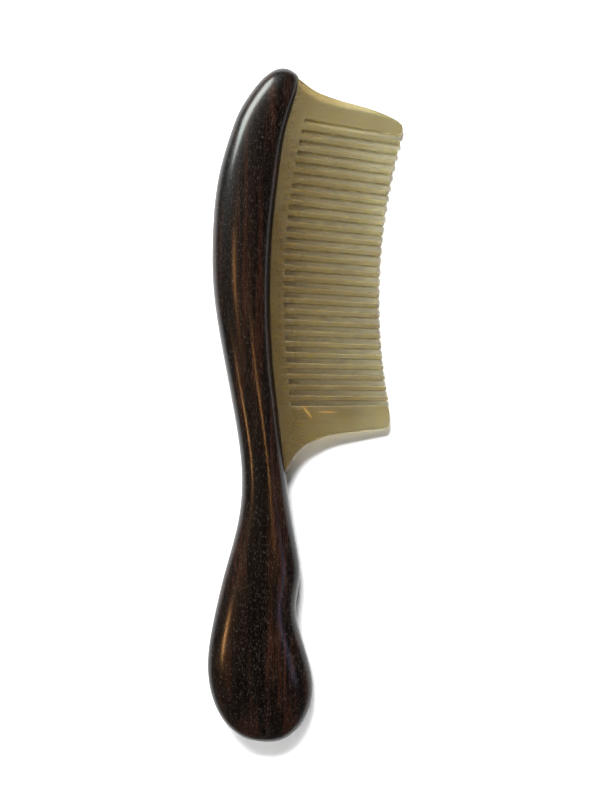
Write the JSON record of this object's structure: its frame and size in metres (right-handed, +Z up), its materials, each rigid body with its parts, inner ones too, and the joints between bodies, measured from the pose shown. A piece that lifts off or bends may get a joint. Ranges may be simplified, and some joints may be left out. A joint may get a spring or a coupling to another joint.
{
  "type": "beard comb",
  "caption": "Handled comb: a dark hardwood spine and grip with a translucent horn tooth plate glued into a groove along the spine.",
  "frame": {"origin": "middle of the bounding box in X and Y, on the surface that the comb lies on", "axes": "+Y along the comb from the grip to the top guard, +X from the spine towards the tooth tips, +Z up from the surface; the plate leans about 6.4 degrees down towards the tips"},
  "size_m": [0.0548, 0.1896, 0.0132],
  "materials": {
    "dark_wood": "gloss",
    "horn": "gloss",
    "hard_glue": "satin"
  },
  "bodies": {
    "root": {"handle": "dark_wood", "tooth_plate": "horn", "glue_bed": "hard_glue"}
  },
  "joints": []
}
